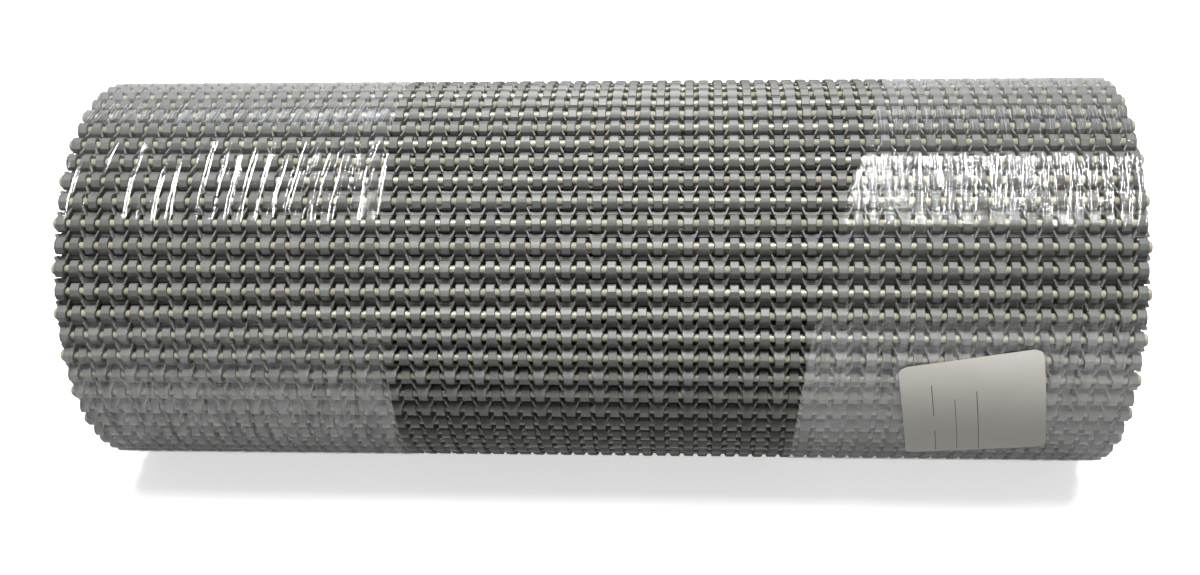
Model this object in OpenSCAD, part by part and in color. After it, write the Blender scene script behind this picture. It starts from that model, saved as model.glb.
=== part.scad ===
// Rolled modular plastic belt, in millimetres.
// Bricklaid hinge modules turn on plastic rods. The belt is wound with its flat top inward and its
// knuckles outward, and a band of stretch film round each end holds the roll shut.
// The roll's axis lies along X, +Z is up, and the origin is on the floor under the roll.

/* [Belt] */
// Width of the belt, along the hinge rods
belt_w = 600; // [570:10:690]
// Distance from one hinge rod to the next
pitch = 12.7; // [12.2:0.1:13.6]
// Thickness of the belt, over the knuckles
belt_t = 8.7; // [8.2:0.1:9.2]
// Thickness of the flat top plate between the knuckles
plate_t = 3.8; // [3:0.1:4.5]
// Rows of modules in the roll
rows = 233; // [229:1:237]

/* [Modules] */
// Length of a full module
module_w = 200; // [190:10:210]
// Link pairs on a full module; each pair here stands for three of the moulded part's 12
pairs = 4; // [4:4:12]
// Gap between neighbouring knuckles, where the rod shows
knuckle_gap = 8; // [1.5:0.1:10]
// Distance from the belt's edge to the end knuckle's face
edge_inset = 1.5; // [1:0.1:3]
// Clearance between a knuckle's round tip and the next row's plate
tip_gap = 0.4; // [0.3:0.1:0.7]
// Gap between the ends of two modules in a row
seam_gap = 0.2; // [0.1:0.1:0.6]

/* [Rods] */
// Diameter of a hinge rod
rod_d = 4.6; // [4:0.1:5]
// Radial clearance of a rod in its knuckles
rod_clear = 0.2; // [0.1:0.05:0.3]
// Diameter of the rod's head
head_d = 7; // [6:0.1:8]
// Thickness of the rod's head
head_t = 2.6; // [1.5:0.1:3.5]
// Distance that the headless end lies inside the last knuckle
rod_short = 0.6; // [0.3:0.1:2]

/* [Roll] */
// Radius over the knuckles at the outer tail of the belt
outer_r = 119.4; // [117:0.1:124]
// Clearance between one turn and the next
turn_gap = 0.6; // [0.5:0.1:1]
// Where the outer tail lies, in degrees from the lowest line, behind it
tail_behind = 25; // [20:1:40]
// How far the roll's own weight flattens its underside
flat_sag = 2.9; // [2:0.1:4]
// Rows at the inner end that are free to hinge
free_rows = 8; // [8:1:8]

/* [Packaging] */
// Width of each film band
film_w = 184; // [120:1:200]
// Thickness of the wound film
film_t = 0.3; // [0.2:0.1:0.5]
// Clearance between the film and the knuckles, and between the label and the film
film_gap = 0.3; // [0.2:0.1:0.5]
// Distance from the belt's edge to the film
film_inset = 2; // [0:1:10]
// Width of the label, along the roll
label_w = 78; // [60:1:100]
// Height of the label, round the roll
label_h = 80; // [50:1:90]
// Corner radius of the label
label_corner = 5; // [1:0.5:10]
// Distance from the middle of the belt to the middle of the label
label_x = 213; // [200:1:215]
// Where the middle of the label lies, in degrees up the front from the lowest line
label_up = 80; // [70:1:110]
// How far the label is turned on the roll
label_turn = 9; // [0:1:15]

/* [Hidden] */

$fn = 32;
belt_grey = "#8d8c87";
rod_ivory = "#e8e0bd";
film_clear = "#dfe9ee";
paper = "#dcd7cc";

// The module in its own frame: rod A on the X axis, rod B a pitch along Y, flat top at +Z.
knuckle_r = belt_t / 2;
bore_r = rod_d / 2 + rod_clear;
plate_near = knuckle_r + tip_gap;
plate_far = pitch - plate_near;
half_period = module_w / pairs / 2;

// The seam nearest the middle of a row. It lies between two knuckles, and every second row has it
// a quarter of a module further on.
function middle_seam(course) =
    half_period * floor((belt_w / 2 + course * module_w / 4) / half_period + 0.01);
// Where a row's four modules start and end, from the belt's left edge.
function seams(course) = concat(
    [0],
    [for (n = [-1:1]) middle_seam(course) + n * module_w],
    [belt_w]
);

turns = 5;

// The spiral that the rods lie on. Angles run from the lowest line up the front and inward.
turn_pitch = belt_t + turn_gap;
rod_circle = outer_r - knuckle_r;
first_angle = -tail_behind;
function spiral_r(a) = rod_circle - turn_pitch * (a - first_angle) / 360;
function flat_h(a) = spiral_r(360 * round(a / 360)) - flat_sag;
function reach(a) = cos(a) > 0.5 ? min(spiral_r(a), flat_h(a) / cos(a)) : spiral_r(a);
axis_z = flat_h(0) + knuckle_r;
// The spiral reaches further forward than back, so its axis lies this far behind the origin.
axis_y = turn_pitch / 4;
function around(a, r) = [axis_y - r * sin(a), axis_z - r * cos(a)];
function rod_at(a) = around(a, reach(a));

// The turn from one rod to the next that puts them exactly a pitch apart.
function step(a, turn, tries) =
    tries == 0 ? turn
    : step(a, turn * pitch / norm(rod_at(a + turn) - rod_at(a)), tries - 1);
rod_angles = [
    for (i = 0, a = first_angle; i <= rows; a = a + step(a, 8, 8), i = i + 1) a
];
rod_places = [for (a = rod_angles) rod_at(a)];
last_wound = rows - free_rows;
// The outer turn is a full one, and the others share the rest of the wound angle.
inner_share = (rod_angles[last_wound] - first_angle - 360) / (turns - 1);
function turn_of(i) =
    let (past = rod_angles[i] - first_angle - 360)
    past < 0 ? 0 : min(turns - 1, 1 + floor(past / inner_share));

function turn_rows(t) = [for (i = [0:last_wound - 1]) if (turn_of(i) == t) i];
function turn_rods(t) = [for (i = [1:last_wound - 1]) if (turn_of(i) == t) i];

module knuckle(at, length, side) {
    translate([at, side > 0 ? 0 : pitch, 0])
        rotate([90, 0, 90])
            linear_extrude(length)
                difference() {
                    union() {
                        circle(r = knuckle_r);
                        translate([side > 0 ? 0 : -plate_near, knuckle_r - plate_t])
                            square([plate_near, plate_t]);
                    }
                    circle(r = bore_r);
                }
}

// The width of a knuckle's place on rod j. The inner turns' knuckles are one wide pair a row.
function place_on(j) =
    turn_of(max(j - 1, 0)) == 0 || j >= last_wound ? half_period : belt_w / 2;

// A row's knuckles on one rod, from x0 to x1. B knuckles take the even places and A the odd.
module knuckles(x0, x1, place, side) {
    for (k = [ceil(x0 / place - 0.01):floor(x1 / place + 0.01) - 1])
        if ((k % 2 == 0) == (side < 0)) {
            near = k == 0 ? edge_inset : k * place + knuckle_gap / 2;
            last = (k + 2) * place > belt_w + 0.01;
            far = last ? belt_w - edge_inset : (k + 1) * place - knuckle_gap / 2;
            knuckle(near, far - near, side);
        }
}

// The flat top between the rods. At the belt's edges its end runs out to a point.
module plate(x0, x1) {
    left = x0 + seam_gap / 2;
    right = x1 - seam_gap / 2;
    translate([0, 0, knuckle_r - plate_t])
        linear_extrude(plate_t)
            polygon([
                [left, plate_near],
                [x1 == belt_w ? right - edge_inset : right, plate_near],
                [right, plate_far],
                [x0 == 0 ? left + edge_inset : left, plate_far]
            ]);
}

// One moulded module of row i, from x0 to x1 across the belt.
module belt_module(i, x0, x1) {
    translate([-belt_w / 2, 0, 0])
        union() {
            plate(x0, x1);
            knuckles(x0, x1, place_on(i), -1);
            knuckles(x0, x1, place_on(i + 1), 1);
        }
}

module in_row(i) {
    a = rod_places[i + 1];
    b = rod_places[i];
    translate([0, a[0], a[1]])
        rotate([atan2(b[1] - a[1], b[0] - a[0]), 0, 0])
            children();
}

module row_module(i, n) {
    s = seams(i % 2);
    in_row(i) belt_module(i, s[n], s[n + 1]);
}

module outer_modules(course, n) {
    color(belt_grey)
        for (i = turn_rows(0))
            if (i % 2 == course) row_module(i, n);
}

// An inner turn, with each row as one piece.
module plain_turn(t) {
    color(belt_grey)
        for (i = turn_rows(t))
            in_row(i) belt_module(i, 0, belt_w);
}

// A rod with its formed head, which is domed in two steps.
module rod(i) {
    side = i % 2 == 0 ? 1 : -1;
    seat = belt_w / 2 - edge_inset;
    end = seat - rod_short;
    near = tip_gap / 2;
    dome = (head_t - near) / 3;
    translate([0, rod_places[i][0], rod_places[i][1]])
        rotate([0, 90 * side, 0])
            union() {
                translate([0, 0, -end]) cylinder(d = rod_d, h = end + seat + near);
                translate([0, 0, seat + near]) cylinder(d = head_d, h = dome);
                translate([0, 0, seat + near + dome])
                    cylinder(d1 = head_d, d2 = 0.84 * head_d, h = dome);
                translate([0, 0, seat + near + 2 * dome])
                    cylinder(d1 = 0.84 * head_d, d2 = 0.44 * head_d, h = dome);
            }
}

module turn_of_rods(t) {
    color(rod_ivory)
        for (i = turn_rods(t)) rod(i);
}

// The free rows are counted from the coil inward.
module free_row(n) {
    i = last_wound + n - 1;
    color(belt_grey)
        for (k = [0:len(seams(i % 2)) - 2]) row_module(i, k);
}

module free_rod(n) {
    color(rod_ivory) rod(last_wound + n - 1);
}

// The film spans from knuckle to knuckle round the outer turn, and bridges to the tail.
film_from = [for (i = turn_rows(0)) if (rod_angles[i] > 12) i];
bridge = acos((rod_circle - turn_pitch) / rod_circle);
film_rods = concat(
    [for (i = film_from) if (rod_angles[i] < 360 + first_angle - bridge) i],
    [0, 1]
);
function film_point(i, off) =
    let (bend = 1 / cos(pitch / rod_circle * 90 / PI))
    around(rod_angles[i], reach(rod_angles[i]) + (knuckle_r + off) * bend);
function film_path(off) = [for (i = film_rods) film_point(i, off)];
function backward(list) = [for (i = [len(list) - 1:-1:0]) list[i]];

module film_shell(x, width, near, thick) {
    translate([x, 0, 0])
        rotate([90, 0, 90])
            linear_extrude(width)
                polygon(concat(film_path(near + thick), backward(film_path(near))));
}

module film_left() {
    color(film_clear, 0.4)
        film_shell(film_inset - belt_w / 2, film_w, film_gap, film_t);
}

module film_right() {
    color(film_clear, 0.4)
        film_shell(belt_w / 2 - film_inset - film_w, film_w, film_gap, film_t);
}

module label_outline() {
    offset(r = label_corner, $fn = 24)
        square([label_w - 2 * label_corner, label_h - 2 * label_corner], center = true);
}

module label() {
    color(paper)
        intersection() {
            film_shell(label_x - label_w, 2 * label_w, 2 * film_gap + film_t, film_t);
            translate([label_x, axis_y, axis_z])
                rotate([180 - label_up, 0, 0])
                    rotate([0, 0, label_turn])
                        linear_extrude(2 * outer_r) label_outline();
        }
}

outer_modules(0, 0);  // outer_a_left_edge
outer_modules(0, 1);  // outer_a_left_full
outer_modules(0, 2);  // outer_a_right_full
outer_modules(0, 3);  // outer_a_right_edge
outer_modules(1, 0);  // outer_b_left_edge
outer_modules(1, 1);  // outer_b_left_full
outer_modules(1, 2);  // outer_b_right_full
outer_modules(1, 3);  // outer_b_right_edge
plain_turn(1);  // second_turn_modules
plain_turn(2);  // third_turn_modules
plain_turn(3);  // fourth_turn_modules
plain_turn(4);  // inner_turn_modules
turn_of_rods(0);  // outer_turn_rods
turn_of_rods(1);  // second_turn_rods
turn_of_rods(2);  // third_turn_rods
turn_of_rods(3);  // fourth_turn_rods
turn_of_rods(4);  // inner_turn_rods
free_row(1);  // free_row_1
free_row(2);  // free_row_2
free_row(3);  // free_row_3
free_row(4);  // free_row_4
free_row(5);  // free_row_5
free_row(6);  // free_row_6
free_row(7);  // free_row_7
free_row(8);  // free_row_8
free_rod(1);  // free_rod_1
free_rod(2);  // free_rod_2
free_rod(3);  // free_rod_3
free_rod(4);  // free_rod_4
free_rod(5);  // free_rod_5
free_rod(6);  // free_rod_6
free_rod(7);  // free_rod_7
free_rod(8);  // free_rod_8
film_left();
film_right();
label();
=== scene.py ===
"""A rolled modular plastic belt: moulded link rows on ivory hinge rods, a band of stretch film round each
end and a bare paper label. The belt's rows follow the same spiral as the CAD model's."""

import math

import bpy
import numpy as np
from mathutils import Matrix, Vector


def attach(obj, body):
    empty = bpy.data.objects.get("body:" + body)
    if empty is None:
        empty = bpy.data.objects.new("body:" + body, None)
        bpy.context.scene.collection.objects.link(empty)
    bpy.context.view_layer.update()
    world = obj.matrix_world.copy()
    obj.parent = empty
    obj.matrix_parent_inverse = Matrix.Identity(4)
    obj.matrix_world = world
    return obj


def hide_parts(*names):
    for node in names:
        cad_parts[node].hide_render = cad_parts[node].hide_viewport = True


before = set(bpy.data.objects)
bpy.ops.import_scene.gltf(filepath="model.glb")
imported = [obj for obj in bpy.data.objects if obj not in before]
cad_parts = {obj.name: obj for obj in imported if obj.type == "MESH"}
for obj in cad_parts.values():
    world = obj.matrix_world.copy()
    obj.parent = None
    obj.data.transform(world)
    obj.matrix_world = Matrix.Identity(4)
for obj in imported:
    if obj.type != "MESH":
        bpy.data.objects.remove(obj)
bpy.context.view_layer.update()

# Sizes in millimetres and angles in degrees, as the CAD model has them.
MM = 0.001
BELT_W = 600.0
PITCH = 12.7
BELT_T = 8.7
EDGE_INSET = 1.5
SEAM_GAP = 0.2
ROWS = 233
FREE_ROWS = 8
MODULE_W = 200.0
ROD_D = 4.6
BORE_R = 2.5
HEAD_D = 7.0
HEAD_T = 2.6
ROD_SHORT = 0.6
OUTER_R = 119.4
TURN_GAP = 0.6
TAIL_BEHIND = 25.0
FLAT_SAG = 2.9
FILM_W = 184.0
FILM_T = 0.3
FILM_GAP = 0.3
FILM_INSET = 2.0
FILM_FROM = 12.0
LABEL_SIZE = (78.0, 80.0)
LABEL_CORNER = 5.0
LABEL_X = 213.0
LABEL_UP = 80.0
LABEL_TURN = 9.0

# Sizes that only this script has.
FLOOR_CLEAR = 0.15
RIGHT_FILM_SLANT = 55.0
RIPPLE_HEIGHT = 0.05
RIPPLE_WAVES = 14
UNRIPPLED_BELOW = 20.0
LABEL_LIFT = 0.5
RULE_LIFT = 0.58
# Each rule's place along the label, its lower and upper end, and its width.
LABEL_RULES = [(2.0, -38.0, 18.0, 0.45), (-22.0, 2.0, 26.0, 0.45), (-22.0, -37.0, -12.0, 0.45),
               (-10.0, -36.0, 14.0, 0.35)]

# Edges that turn by more than these angles stay crisp.
LINK_SHARP = 28.0
ROD_SHARP = 45.0
SHEET_SHARP = 60.0

# The moulded links: 36 pairs across the belt, 12 on a full module.
PAIRS = 36
PLACE = BELT_W / PAIRS / 2
KNUCKLE_R = BELT_T / 2
PLATE_NEAR = 4.9
PLATE_CUT = 5.5
PLATE_OUT = 1.1
FIRST_SEAM = (MODULE_W / 2, MODULE_W * 3 / 4)

# The spiral that the rods lie on, from the outer tail inward.
TURNS = 5
TURN_PITCH = BELT_T + TURN_GAP
ROD_CIRCLE = OUTER_R - KNUCKLE_R
AXIS_Y = TURN_PITCH / 4
STEP_GUESS = 8.0
STEP_PASSES = 8


def radius_at(a):
    return ROD_CIRCLE - TURN_PITCH * (a + TAIL_BEHIND) / 360


def flat_height(a):
    return radius_at(360 * round(a / 360)) - FLAT_SAG


def reach(a):
    """How far from the roll's axis a rod lies at angle a. The roll's weight flattens the underside."""
    c = math.cos(math.radians(a))
    return min(radius_at(a), flat_height(a) / c) if c > 0.5 else radius_at(a)


AXIS_Z = flat_height(0) + KNUCKLE_R


def around(a, r):
    """(y, z) at angle a, from the lowest line up the front, and at radius r."""
    t = math.radians(a)
    return AXIS_Y - r * math.sin(t), AXIS_Z - r * math.cos(t)


def wound_rods():
    """Each rod's angle, with every rod exactly a pitch from the last."""
    angles = [-TAIL_BEHIND]
    for _ in range(ROWS):
        a, turn = angles[-1], STEP_GUESS
        for _ in range(STEP_PASSES):
            turn *= PITCH / math.dist(around(a, reach(a)), around(a + turn, reach(a + turn)))
        angles.append(a + turn)
    return angles


ROD_ANGLES = wound_rods()
ROD_PLACES = [around(a, reach(a)) for a in ROD_ANGLES]
LAST_WOUND = ROWS - FREE_ROWS
INNER_SHARE = (ROD_ANGLES[LAST_WOUND] + TAIL_BEHIND - 360) / (TURNS - 1)


def turn_of(i):
    """The outer turn is a full one, and the others share the rest of the wound angle."""
    past = ROD_ANGLES[i] + TAIL_BEHIND - 360
    return 0 if past < 0 else min(TURNS - 1, 1 + int(past // INNER_SHARE))


# ---------------------------------------------------------------- meshes


def outward(points, faces):
    """The faces, turned round if they enclose the points inside out."""
    p = points[faces]
    across = np.cross(p[:, 2] - p[:, 0], p[:, 3] - p[:, 1])
    return faces if (p.mean(1) * across).sum() > 0 else faces[:, ::-1]


def loft(rings, ends=True, loop=False):
    """A skin of quads over rings of points, which all have the same even number of points."""
    rings = np.asarray(rings, float)
    m, n = rings.shape[:2]
    index = np.arange(m * n).reshape(m, n)
    a = index if loop else index[:-1]
    b = np.roll(index, -1, 0) if loop else index[1:]
    faces = [np.stack([a, np.roll(a, -1, 1), np.roll(b, -1, 1), b], -1).reshape(-1, 4)]
    if ends:
        k = np.arange(n // 2 - 1)
        cap = np.stack([k, k + 1, n - 2 - k, n - 1 - k], -1)
        faces += [cap[:, ::-1], cap + (m - 1) * n]
    points = rings.reshape(-1, 3)
    return points, outward(points, np.concatenate(faces))


def gather(solids):
    """Several (points, faces) as one."""
    points, faces, start = [], [], 0
    for p, f in solids:
        points.append(p)
        faces.append(f + start)
        start += len(p)
    return np.concatenate(points), np.concatenate(faces)


def placed(shape, i):
    """A shape in a row's own frame (x across the belt, y from rod A to rod B, z to the flat top),
    moved to row i. The lowest rows rest flat on the floor."""
    points, faces = shape
    (ay, az), (by, bz) = ROD_PLACES[i + 1], ROD_PLACES[i]
    c, s = (by - ay) / PITCH, (bz - az) / PITCH
    turn = np.array([[1, 0, 0], [0, c, -s], [0, s, c]])
    points = points @ turn.T + np.array([0, ay, az])
    points[:, 2] = np.maximum(points[:, 2], 0)
    return points, faces


def new_piece(name, shape, material, body, nodes=(), sharp=LINK_SHARP):
    points, faces = shape
    mesh = bpy.data.meshes.new(name)
    mesh.vertices.add(len(points))
    mesh.vertices.foreach_set("co", (points * MM).ravel())
    mesh.loops.add(faces.size)
    mesh.loops.foreach_set("vertex_index", faces.ravel())
    mesh.polygons.add(len(faces))
    mesh.polygons.foreach_set("loop_start", np.arange(0, faces.size, faces.shape[1]))
    mesh.update(calc_edges=True)
    mesh.validate()
    mesh.shade_smooth()
    mesh.set_sharp_from_angle(angle=math.radians(sharp))
    mesh.materials.append(material)
    piece = bpy.data.objects.new(name, mesh)
    bpy.context.scene.collection.objects.link(piece)
    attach(piece, body)
    if nodes:
        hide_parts(*nodes)
    return piece


# ---------------------------------------------------------------- links

# An A knuckle along its row, from the tip: (place, outer face, flat top, half width).
# It has a flat outer face with a slope on each side, and its flanks spread to meet the ribs.
KNUCKLE = [
    (-4.72, -0.5, 0.5, 2.25),
    (-4.50, -1.8, 1.8, 2.38),
    (-1.95, -4.15, 4.15, 2.45),
    (-1.60, -4.35, 4.35, 2.48),
    (1.50, -4.35, 4.35, 2.72),
    (1.90, -4.17, 4.35, 2.86),
    (4.50, -1.85, 4.35, 3.82),
    (4.75, -1.35, 4.35, 3.94),
    (PLATE_NEAR, PLATE_OUT, 4.35, 4.04),
]
# The inner turn's knuckles face the turn outside it, so they leave out the smallest steps.
HIDDEN_KNUCKLE = [KNUCKLE[k] for k in (0, 1, 3, 4, 8)]
KNUCKLE_BEVEL = 0.32
RIB_SLOPE = 0.42
RIB_HALF = 0.58
RIB_OUT = -2.9
RIB_TOP = 1.0
RIB_END = 4.3
SMALL_BEVEL = 0.25
CAP_T = 0.9
CAP_OVERLAP = 0.1
# The plan of the point at the belt's edge: (past the last knuckle's face, along the row).
EDGE_TIP = [(-0.5, 1.6), (0.0, 1.8), (0.2, 3.0), (1.95, 6.6), (1.95, 6.9), (-0.5, 7.3)]
EDGE_TIP_SPAN = (0.1, 4.3)
ROD_SIDES = 16


def to_side(points, side, centre):
    """A knuckle's points, mirrored for a B knuckle, at its place across the belt."""
    points = np.array(points, float)
    if side < 0:
        points[..., 1] = PITCH - points[..., 1]
    points[..., 0] += centre
    return points


def knuckle(centre, side, stations, left=None, right=None):
    """A knuckle with spreading flanks. Where left or right is given, that flank is flat, so far out."""
    rings = []
    for u, out, top, half in stations:
        b = min(KNUCKLE_BEVEL, (top - out) / 3)
        x0 = -(left or half)
        x1 = right or half
        rings.append([(x0, u, top), (x0, u, out + b), (x0 + b, u, out),
                      (x1 - b, u, out), (x1, u, out + b), (x1, u, top)])
    return loft(to_side(rings, side, centre))


def drilled_cap(centre, side, end):
    """The outer end of a belt's last knuckle, with the rod's bore through it."""
    outline = [(u, top) for u, _, top, _ in KNUCKLE] + [(u, out) for u, out, _, _ in KNUCKLE[::-1]]
    outline = np.array(outline)
    bore = outline / np.linalg.norm(outline, axis=1)[:, None] * BORE_R
    face = PLACE / 2 - EDGE_INSET
    x0, x1 = end * (face - CAP_T), end * face
    rings = [np.insert(loop, 0, x, axis=1) for loop, x in
             ((bore, x0), (outline, x0), (outline, x1), (bore, x1))]
    return loft(to_side(rings, side, centre), ends=False, loop=True)


def edge_tip(centre, side, end):
    """The point that the last plate ends in, past the knuckle's face."""
    face = PLACE / 2 - EDGE_INSET
    rings = [[(end * (face + past), u, w) for past, u in EDGE_TIP] for w in EDGE_TIP_SPAN]
    return loft(to_side(rings, side, centre))


def rib(x, lean):
    """The slanted wall between two knuckles' flanks, about the line between their places."""
    rings = []
    for u in (RIB_END, PITCH - RIB_END):
        c = x + lean * RIB_SLOPE * (u - PITCH / 2)
        h, b = RIB_HALF, SMALL_BEVEL
        rings.append([(c - h, u, RIB_TOP), (c - h, u, RIB_OUT + b), (c - h + b, u, RIB_OUT),
                      (c + h - b, u, RIB_OUT), (c + h, u, RIB_OUT + b), (c + h, u, RIB_TOP)])
    return loft(rings)


def plate(k, x0, x1):
    """The bar between a row's two rods, over place k. It is cut back from the next row's knuckle tip."""
    near, far = PLATE_NEAR, PITCH - PLATE_CUT
    if k % 2 == 0:
        near, far = PITCH - far, PITCH - near
    top, out, b = KNUCKLE_R, PLATE_OUT, SMALL_BEVEL
    ring = [(near, top), (near, out + b), (near + b, out), (far - b, out), (far, out + b), (far, top)]
    ends = max(k * PLACE, x0 + SEAM_GAP / 2), min((k + 1) * PLACE, x1 - SEAM_GAP / 2)
    return loft([[(x, u, w) for u, w in ring] for x in ends])


def module(x0, x1, stations=KNUCKLE):
    """One moulded module, from x0 to x1 across the belt. B knuckles take the even places and A the odd."""
    first, last = round(x0 / PLACE), round(x1 / PLACE) - 1
    solids = []
    for k in range(first, last + 1):
        solids.append(plate(k, x0, x1))
        side = -1 if k % 2 == 0 else 1
        centre = (k + 0.5) * PLACE
        inset = PLACE / 2 - EDGE_INSET - CAP_T + CAP_OVERLAP
        left_edge, right_edge = k == 0, k == 2 * PAIRS - 1
        solids.append(knuckle(centre, side, stations, inset if left_edge else None,
                              inset if right_edge else None))
        if left_edge or right_edge:
            end = 1 if right_edge else -1
            solids += [drilled_cap(centre, side, end), edge_tip(centre, side, end)]
        if k < last:
            solids.append(rib((k + 1) * PLACE, side))
    points, faces = gather(solids)
    return points - np.array([BELT_W / 2, 0, 0]), faces


def seams(course):
    """Where a row's modules meet, with the belt's two edges. Course 0 is an even row and 1 an odd one."""
    inner = np.arange(FIRST_SEAM[course], BELT_W - 1, MODULE_W)
    return [0.0, *inner, BELT_W]


def rod_shape(i):
    """A rod with its domed head: on the right for an even rod and on the left for an odd one."""
    side = 1 if i % 2 == 0 else -1
    seat = BELT_W / 2 - EDGE_INSET
    r, head, out = ROD_D / 2, HEAD_D / 2, seat + HEAD_T
    profile = [(ROD_SHORT - seat, 0.6 * r), (ROD_SHORT - seat, 0.9 * r), (ROD_SHORT - seat + 0.3, r),
               (seat + 0.2, r), (seat + 0.2, 0.95 * head), (seat + 0.5, head), (out - 1.1, 0.96 * head),
               (out - 0.4, 0.76 * head), (out - 0.08, 0.42 * head), (out, 0.14 * head)]
    y, z = ROD_PLACES[i]
    angles = np.linspace(0, 2 * np.pi, ROD_SIDES + 1)[:-1]
    rings = [[(side * x, y + q * math.cos(t), z + q * math.sin(t)) for t in angles] for x, q in profile]
    return loft(rings)


# ---------------------------------------------------------------- materials

BUMP_DEPTH = 0.0002


def material(name, rough, colours, grain, bump=0.0, bump_scale=900.0, **sockets):
    """A Principled material with noise in its colour and roughness and, with bump, in its surface."""
    made = bpy.data.materials.new(name)
    made.use_nodes = True
    nodes, links = made.node_tree.nodes, made.node_tree.links
    shader = nodes["Principled BSDF"]
    for key, value in sockets.items():
        shader.inputs[key.replace("_", " ")].default_value = value
    place = nodes.new("ShaderNodeTexCoord").outputs["Object"]
    noise = nodes.new("ShaderNodeTexNoise")
    noise.inputs["Scale"].default_value = grain
    noise.inputs["Detail"].default_value = 6
    links.new(place, noise.inputs["Vector"])
    ramp = nodes.new("ShaderNodeValToRGB")
    low, high = colours
    ramp.color_ramp.elements[0].position = 0.35
    ramp.color_ramp.elements[1].position = 0.65
    ramp.color_ramp.elements[0].color = (*low, 1)
    ramp.color_ramp.elements[1].color = (*high, 1)
    links.new(noise.outputs["Fac"], ramp.inputs["Fac"])
    links.new(ramp.outputs["Color"], shader.inputs["Base Color"])
    spread = nodes.new("ShaderNodeMapRange")
    spread.inputs["To Min"].default_value = rough[0]
    spread.inputs["To Max"].default_value = rough[1]
    links.new(noise.outputs["Fac"], spread.inputs["Value"])
    links.new(spread.outputs["Result"], shader.inputs["Roughness"])
    if bump:
        fine = nodes.new("ShaderNodeTexNoise")
        fine.inputs["Scale"].default_value = bump_scale
        fine.inputs["Detail"].default_value = 3
        links.new(place, fine.inputs["Vector"])
        relief = nodes.new("ShaderNodeBump")
        relief.inputs["Strength"].default_value = bump
        relief.inputs["Distance"].default_value = BUMP_DEPTH
        links.new(fine.outputs["Fac"], relief.inputs["Height"])
        links.new(relief.outputs["Normal"], shader.inputs["Normal"])
    return made


# ---------------------------------------------------------------- the belt

GREY = material("belt_plastic", rough=(0.42, 0.56),
                colours=((0.138, 0.142, 0.133), (0.172, 0.175, 0.163)), grain=45.0,
                bump=0.35, bump_scale=1500.0, Specular_IOR_Level=0.25)
IVORY = material("rod_plastic", rough=(0.3, 0.42),
                 colours=((0.36, 0.33, 0.235), (0.45, 0.42, 0.31)), grain=80.0,
                 bump=0.15, Specular_IOR_Level=0.3)


def build_belt():
    parts = ("left_edge", "left_full", "right_full", "right_edge")
    for course, letter in enumerate("ab"):
        s = seams(course)
        rows = [i for i in range(LAST_WOUND) if turn_of(i) == 0 and i % 2 == course]
        for n, part in enumerate(parts):
            node = f"outer_{letter}_{part}"
            shape = module(s[n], s[n + 1])
            new_piece(f"{node}_links", gather([placed(shape, i) for i in rows]), GREY,
                      "coil", [node])
        inner_rows = [i for i in range(LAST_WOUND) if turn_of(i) == TURNS - 1 and i % 2 == course]
        plain = gather([module(s[n], s[n + 1], HIDDEN_KNUCKLE) for n in range(4)])
        new_piece(f"inner_turn_{letter}_links", gather([placed(plain, i) for i in inner_rows]), GREY,
                  "coil", ["inner_turn_modules"])
    for n in range(1, FREE_ROWS + 1):
        i = LAST_WOUND + n - 1
        s = seams(i % 2)
        shape = gather([module(s[k], s[k + 1]) for k in range(4)])
        new_piece(f"free_row_{n}_links", placed(shape, i), GREY, f"tail_{n}",
                  [f"free_row_{n}"])
    for name in ("second", "third", "fourth"):
        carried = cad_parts[f"{name}_turn_modules"]
        carried.data.materials.clear()
        carried.data.materials.append(GREY)


def build_rods():
    for t, name in enumerate(("outer", "second", "third", "fourth", "inner")):
        rods = [rod_shape(i) for i in range(1, LAST_WOUND) if turn_of(i) == t]
        new_piece(f"{name}_turn_rods_domed", gather(rods), IVORY, "coil",
                  [f"{name}_turn_rods"], ROD_SHARP)
    for n in range(1, FREE_ROWS + 1):
        new_piece(f"free_rod_{n}_domed", rod_shape(LAST_WOUND + n - 1), IVORY, f"tail_{n}",
                  [f"free_rod_{n}"], ROD_SHARP)


build_belt()
build_rods()

# ---------------------------------------------------------------- film and label


def film_line(off):
    """Points (angle, y, z) of film pulled taut over the outer turn's knuckles, at a height off them."""
    bend = 1 / math.cos(PITCH / ROD_CIRCLE / 2)
    bridge = math.degrees(math.acos((ROD_CIRCLE - TURN_PITCH) / ROD_CIRCLE))
    rods = [i for i in range(LAST_WOUND) if FILM_FROM < ROD_ANGLES[i] < 360 - TAIL_BEHIND - bridge]
    points = [(a, *around(a, reach(a) + (KNUCKLE_R + off) * bend)) for a in (ROD_ANGLES[i] for i in rods)]
    for i in (0, 1):
        a = ROD_ANGLES[i]
        points.append((a + 360, *around(a, reach(a) + (KNUCKLE_R + off) * bend)))
    a, _, z = points[0]
    behind = points[-1][0]
    for t in (0.25, 0.5, 0.75):
        flat = behind + (a + 360 - behind) * t
        points.append((flat, AXIS_Y - AXIS_Z * math.tan(math.radians(flat)), FLOOR_CLEAR))
    points.append((a + 360, points[0][1], z))
    return points


FILM_LINE = film_line(FILM_GAP + FILM_T)


def grid_faces(rows, columns, loop=False):
    index = np.arange(rows * columns).reshape(rows, columns)
    a = index if loop else index[:-1]
    b = np.roll(index, -1, 0) if loop else index[1:]
    return np.stack([a[:, :-1], a[:, 1:], b[:, 1:], b[:, :-1]], -1).reshape(-1, 4)


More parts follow.
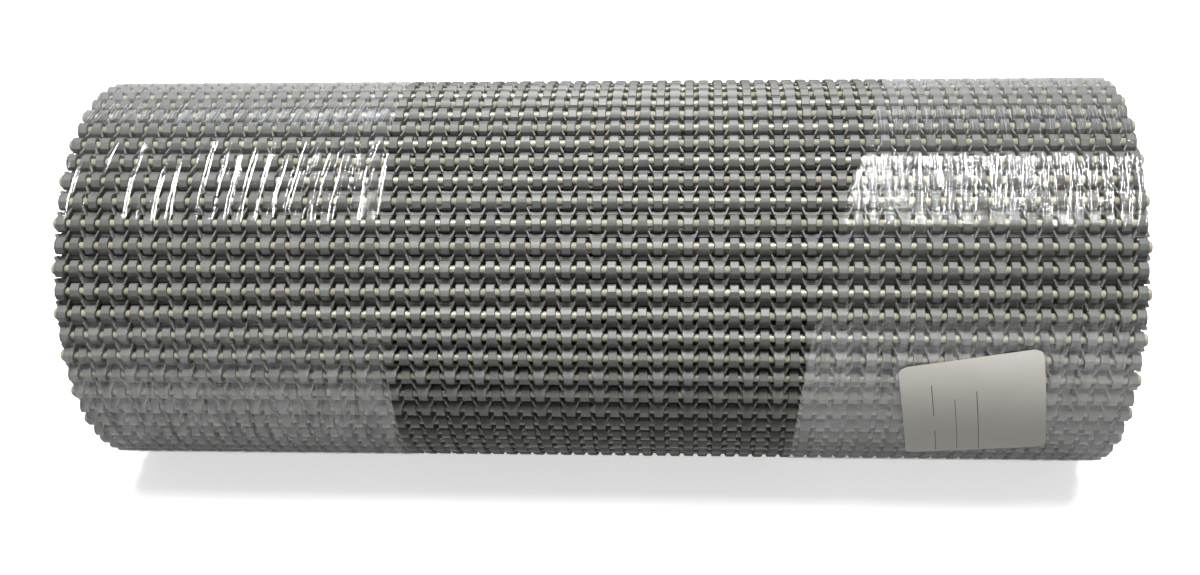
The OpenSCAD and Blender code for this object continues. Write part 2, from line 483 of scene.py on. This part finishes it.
def film_band(x0, slant):
    """One band of film round the roll, from x0 across, with shallow ripples in it.
    Its left edge is wound slanting: it moves in by up to the slant behind the top of the roll."""
    rng = np.random.default_rng(int(abs(x0)) + (x0 > 0))
    across = np.linspace(x0, x0 + FILM_W, 93)
    points, angles = [], []
    for (a0, y0, z0), (a1, y1, z1) in zip(FILM_LINE, FILM_LINE[1:]):
        for t in (0, 0.2, 0.5, 0.8):
            points.append((y0 + (y1 - y0) * t, z0 + (z1 - z0) * t))
            angles.append(a0 + (a1 - a0) * t)
    loop = np.array(points)
    out = loop - np.array([AXIS_Y, AXIS_Z])
    out /= np.linalg.norm(out, axis=1)[:, None]
    turn = np.linspace(0, 2 * np.pi, len(loop), endpoint=False)[:, None]
    ripple = np.zeros((len(loop), len(across)))
    for _ in range(RIPPLE_WAVES):
        waves, lobes, phase = rng.uniform(0.15, 0.7), rng.integers(-9, 10), rng.uniform(0, 6.3)
        ripple += np.sin(waves * across[None, :] + lobes * turn + phase)
    low = loop[:, 1:] < UNRIPPLED_BELOW
    lift = np.where(low, 0, RIPPLE_HEIGHT * ripple.clip(0, 3))
    y = loop[:, :1] + out[:, :1] * lift
    z = loop[:, 1:] + out[:, 1:] * lift
    moved = slant * np.sin(np.radians(np.array(angles) - 30) / 2)[:, None] ** 4
    x = across + moved * (x0 + FILM_W - across) / FILM_W
    points = np.stack([x, y, z], -1).reshape(-1, 3)
    return points, grid_faces(len(loop), len(across), loop=True)


def label_point(u, v, lift):
    """A point of the label, which is laid on the film: u along its width and v up its height."""
    t = math.radians(LABEL_TURN)
    x, up = u * math.cos(t) - v * math.sin(t), u * math.sin(t) + v * math.cos(t)
    a = LABEL_UP + math.degrees(math.asin(up / (ROD_CIRCLE + KNUCKLE_R)))
    return (LABEL_X + x, *around(a, radius_at(a) + KNUCKLE_R + FILM_GAP + FILM_T + lift))


def label_sheet():
    """The paper, with rounded corners."""
    w, h = LABEL_SIZE
    rows = []
    for v in np.linspace(-h / 2, h / 2, 61):
        past = max(0.0, abs(v) - (h / 2 - LABEL_CORNER))
        half = w / 2 - LABEL_CORNER + math.sqrt(max(0.0, LABEL_CORNER ** 2 - past ** 2))
        rows.append([label_point(u, v, LABEL_LIFT) for u in np.linspace(-half, half, 49)])
    rows = np.array(rows)
    return rows.reshape(-1, 3), grid_faces(*rows.shape[:2])


def label_rule(u, v0, v1, width):
    """A thin printed rule up the label."""
    rows = [[label_point(u + side * width / 2, v, RULE_LIFT) for side in (-1, 1)]
            for v in np.linspace(v0, v1, 30)]
    rows = np.array(rows)
    return rows.reshape(-1, 3), grid_faces(*rows.shape[:2])


def maths(nodes, links, operation, *values, clamp=False):
    """A Math node over values and other nodes' outputs."""
    node = nodes.new("ShaderNodeMath")
    node.operation = operation
    node.use_clamp = clamp
    for socket, value in zip(node.inputs, values):
        if isinstance(value, bpy.types.NodeSocket):
            links.new(value, socket)
        else:
            socket.default_value = value
    return node.outputs[0]


# How much of the light the film reflects, bare and at a fold, and how much it turns milky. Edge on, the
# milk is partly the film's own haze and partly a painted sheen that stands in for its reflection of the
# pale surroundings.
BARE_SHINE = 0.0065
BARE_SHINE_MOST = 0.04
FOLD_SHINE = 9.0
SHINE_MOST = 0.08
EDGE_ON_MILK_AND_SHEEN = 0.3
FOLD_MILK = 0.006
FILM_ROUGH = 0.1
FOLD_DEPTH = 0.0005
# The folds weaken from the first to the second of these lengths (m) down the front, from full to the share.
FOLDS_WEAKEN = (0.12, 0.2)
FOLDS_LOW_SHARE = 0.3


def film_material(name, fine_scale, fine_width, fine_height, edge_height, lean, seed):
    """Clear film: folds run round the roll, over the knuckles' edges, and catch the light."""
    made = bpy.data.materials.new(name)
    made.use_nodes = True
    nodes, links = made.node_tree.nodes, made.node_tree.links
    nodes.clear()

    def sums(operation, *values, clamp=False):
        return maths(nodes, links, operation, *values, clamp=clamp)

    place = nodes.new("ShaderNodeSeparateXYZ")
    links.new(nodes.new("ShaderNodeTexCoord").outputs["Object"], place.inputs[0])
    y = sums("SUBTRACT", place.outputs["Y"], AXIS_Y * MM)
    z = sums("SUBTRACT", place.outputs["Z"], AXIS_Z * MM)
    length = sums("MULTIPLY", sums("ARCTAN2", sums("MULTIPLY", y, -1.0), z), OUTER_R * MM)
    x = sums("ADD", place.outputs["X"], sums("MULTIPLY", length, lean))

    def noise(across, along, offset, detail=1.5):
        """Noise about 0 that is stretched round the roll."""
        where = nodes.new("ShaderNodeCombineXYZ")
        links.new(sums("MULTIPLY", x, across), where.inputs[0])
        links.new(sums("MULTIPLY", length, along), where.inputs[1])
        where.inputs[2].default_value = seed + offset
        made_noise = nodes.new("ShaderNodeTexNoise")
        made_noise.inputs["Scale"].default_value = 1.0
        made_noise.inputs["Detail"].default_value = detail
        links.new(where.outputs[0], made_noise.inputs["Vector"])
        return sums("SUBTRACT", made_noise.outputs["Fac"], 0.5)

    def ridge(off, width):
        """A ridge with straight sides where off is 0."""
        return sums("SUBTRACT", 1.0, sums("DIVIDE", sums("ABSOLUTE", off), width), clamp=True)

    wander = sums("MULTIPLY", noise(across=40.0, along=14.0, offset=0.0), 0.9)
    beat = sums("PINGPONG", sums("ADD", sums("DIVIDE", x, PLACE * MM), wander), 0.5)
    spread = sums("MULTIPLY", noise(across=60.0, along=20.0, offset=2.0), 0.25)
    pair = sums("SUBTRACT", beat, sums("ADD", 0.1, spread))
    patches = sums("MULTIPLY", noise(across=90.0, along=16.0, offset=7.0), 1.8)
    strong = sums("ADD", 0.85, patches, clamp=True)
    low_down = nodes.new("ShaderNodeMapRange")
    low_down.inputs["From Min"].default_value = FOLDS_WEAKEN[0]
    low_down.inputs["From Max"].default_value = FOLDS_WEAKEN[1]
    low_down.inputs["To Min"].default_value = 1.0
    low_down.inputs["To Max"].default_value = FOLDS_LOW_SHARE
    links.new(length, low_down.inputs["Value"])
    over_edges = sums("MULTIPLY", ridge(pair, 0.11), sums("MULTIPLY", strong, low_down.outputs[0]))
    fine = ridge(noise(across=fine_scale, along=20.0, offset=5.0, detail=2.5), fine_width)
    fold = sums("MAXIMUM", sums("MULTIPLY", over_edges, edge_height), sums("MULTIPLY", fine, fine_height))
    grain = noise(across=1100.0, along=60.0, offset=9.0)
    height = sums("ADD", fold, sums("MULTIPLY", grain, 0.4 * fine_height))
    relief = nodes.new("ShaderNodeBump")
    relief.inputs["Strength"].default_value = 1.0
    relief.inputs["Distance"].default_value = FOLD_DEPTH
    links.new(height, relief.inputs["Height"])
    facing = nodes.new("ShaderNodeLayerWeight").outputs["Facing"]
    bare = sums("MINIMUM", sums("ADD", BARE_SHINE, sums("POWER", facing, 3.0)), BARE_SHINE_MOST)
    folded = sums("ADD", 1.0, sums("MULTIPLY", fold, FOLD_SHINE))
    shine = sums("MINIMUM", sums("MULTIPLY", bare, folded), SHINE_MOST)
    gloss = nodes.new("ShaderNodeBsdfGlossy")
    gloss.inputs["Roughness"].default_value = FILM_ROUGH
    links.new(relief.outputs["Normal"], gloss.inputs["Normal"])
    milk_and_sheen = nodes.new("ShaderNodeBsdfDiffuse")
    milk_and_sheen.inputs["Color"].default_value = (0.9, 0.92, 0.93, 1)
    clear = nodes.new("ShaderNodeBsdfTransparent")
    cloudy_and_sheen = nodes.new("ShaderNodeMixShader")
    # Painted sheen: white diffuse that grows as the film turns edge on, partly the film's real haze and
    # partly standing in for its reflection of the pale surroundings.
    edge_on_haze_and_sheen = sums("MULTIPLY", sums("POWER", facing, 3.0), EDGE_ON_MILK_AND_SHEEN)
    links.new(sums("ADD", edge_on_haze_and_sheen, sums("MULTIPLY", fold, FOLD_MILK)), cloudy_and_sheen.inputs[0])
    links.new(clear.outputs[0], cloudy_and_sheen.inputs[1])
    links.new(milk_and_sheen.outputs[0], cloudy_and_sheen.inputs[2])
    mixed = nodes.new("ShaderNodeMixShader")
    links.new(shine, mixed.inputs[0])
    links.new(cloudy_and_sheen.outputs[0], mixed.inputs[1])
    links.new(gloss.outputs[0], mixed.inputs[2])
    out = nodes.new("ShaderNodeOutputMaterial")
    links.new(mixed.outputs[0], out.inputs["Surface"])
    return made


def build_packaging():
    left = FILM_INSET - BELT_W / 2
    right = BELT_W / 2 - FILM_INSET - FILM_W
    sparse = film_material("film_sparse", fine_scale=260.0, fine_width=0.1, fine_height=0.2,
                           edge_height=0.5, lean=0.12, seed=1.0)
    dense = film_material("film_dense", fine_scale=380.0, fine_width=0.2, fine_height=1.0,
                          edge_height=0.4, lean=0.06, seed=3.0)
    wraps = [new_piece("film_left_wrap", film_band(left, 0.0), sparse, "coil",
                       ["film_left"], SHEET_SHARP),
             new_piece("film_right_wrap", film_band(right, RIGHT_FILM_SLANT), dense, "coil",
                       ["film_right"], SHEET_SHARP)]
    for wrap in wraps:
        wrap.visible_shadow = False
    paper = material("label_paper", rough=(0.55, 0.7),
                     colours=((0.87, 0.84, 0.76), (0.93, 0.9, 0.82)), grain=30.0, bump=0.1)
    ink = material("label_ink", rough=(0.5, 0.6),
                   colours=((0.06, 0.06, 0.06), (0.11, 0.11, 0.11)), grain=400.0)
    new_piece("label_sheet", label_sheet(), paper, "coil", ["label"], SHEET_SHARP)
    rules = [label_rule(*rule) for rule in LABEL_RULES]
    new_piece("label_rules", gather(rules), ink, "coil", (), SHEET_SHARP)


build_packaging()

# ---------------------------------------------------------------- stage, lights and camera

CAMERA_TILT = 35.57
CAMERA_TURN = 3.71
CAMERA_ROLL = 0.16
CAMERA_LENS = 44.19
ROLL_SEEN_AT = Vector((1.2, 14.1, -915.6)) * MM
FLOOR_HALF = 60.0
FLOOR_GLOW = 0.6
SKY_BELOW = 0.05
SKY_LEVEL = 0.09
SKY_TOP = 0.28
SKY_TOP_AT = 0.85


def add_camera():
    """Looks down on the roll from the front, from a little nearer its right-hand end."""
    data = bpy.data.cameras.new("camera")
    data.sensor_width = 36
    data.lens = CAMERA_LENS
    camera = bpy.data.objects.new("camera", data)
    turn = (Matrix.Rotation(math.radians(90 - CAMERA_TILT), 3, "X")
            @ Matrix.Rotation(math.radians(CAMERA_TURN), 3, "Y")
            @ Matrix.Rotation(math.radians(CAMERA_ROLL), 3, "Z"))
    middle = Vector((0, AXIS_Y, AXIS_Z)) * MM
    camera.matrix_world = Matrix.Translation(middle - turn @ ROLL_SEEN_AT) @ turn.to_4x4()
    bpy.context.scene.collection.objects.link(camera)
    bpy.context.scene.camera = camera


def add_glint(name, place, aim, size, power, colour=(1, 1, 1)):
    """A light that only shows as a reflection."""
    data = bpy.data.lights.new(name, "AREA")
    data.shape = "RECTANGLE"
    data.size, data.size_y = size
    data.energy = power
    data.color = colour
    light = bpy.data.objects.new(name, data)
    light.location = place
    light.rotation_euler = (Vector(aim) - Vector(place)).to_track_quat("-Z", "Y").to_euler()
    light.visible_diffuse = False
    bpy.context.scene.collection.objects.link(light)


def add_sun(name, towards, angle, strength):
    """A soft light from far away, left out of reflections."""
    data = bpy.data.lights.new(name, "SUN")
    data.angle = math.radians(angle)
    data.energy = strength
    light = bpy.data.objects.new(name, data)
    light.visible_glossy = False
    light.rotation_euler = Vector(towards).to_track_quat("Z", "Y").to_euler()
    bpy.context.scene.collection.objects.link(light)


def add_floor():
    """A pale floor that glows a little, so that it comes out white, and sheds no diffuse light."""
    pale = material("floor", rough=(0.7, 0.8), colours=((0.88, 0.88, 0.88), (0.92, 0.92, 0.92)),
                    grain=3.0, Emission_Color=(1, 1, 1, 1), Emission_Strength=FLOOR_GLOW)
    mesh = bpy.data.meshes.new("floor")
    far = FLOOR_HALF
    mesh.from_pydata([(-far, -far, 0), (far, -far, 0), (far, far, 0), (-far, far, 0)], [], [(0, 1, 2, 3)])
    mesh.materials.append(pale)
    floor = bpy.data.objects.new("floor", mesh)
    bpy.context.scene.collection.objects.link(floor)
    floor.visible_diffuse = False


def add_world():
    """A dim sky, brightest overhead and darkest straight down."""
    world = bpy.data.worlds.new("studio")
    world.use_nodes = True
    nodes, links = world.node_tree.nodes, world.node_tree.links
    place = nodes.new("ShaderNodeSeparateXYZ")
    links.new(nodes.new("ShaderNodeTexCoord").outputs["Generated"], place.inputs[0])
    ramp = nodes.new("ShaderNodeValToRGB")
    height = maths(nodes, links, "MULTIPLY_ADD", place.outputs["Z"], 0.5, 0.5)
    links.new(height, ramp.inputs["Fac"])
    low, middle = ramp.color_ramp.elements
    low.color = (SKY_BELOW, SKY_BELOW, SKY_BELOW, 1)
    middle.position = 0.5
    middle.color = (SKY_LEVEL, SKY_LEVEL, SKY_LEVEL, 1)
    ramp.color_ramp.elements.new(SKY_TOP_AT).color = (SKY_TOP, SKY_TOP, SKY_TOP, 1)
    links.new(ramp.outputs["Color"], nodes["Background"].inputs["Color"])
    bpy.context.scene.world = world


add_camera()
add_floor()
add_world()
add_sun("top", towards=(0.08, -0.12, 1.0), angle=28, strength=4.4)
add_sun("front", towards=(-0.25, -0.9, 0.5), angle=25, strength=0.15)
add_glint("overhead", place=(-0.03, -0.22, 1.35), aim=(-0.03, -0.2, 0.1), size=(0.2, 0.95), power=80)
add_glint("window", place=(-0.4, 1.5, 1.6), aim=(0.0, 0.0, 0.2), size=(1.2, 0.5), power=9,
          colour=(0.85, 0.92, 1.0))
bpy.context.scene.view_settings.view_transform = "Standard"
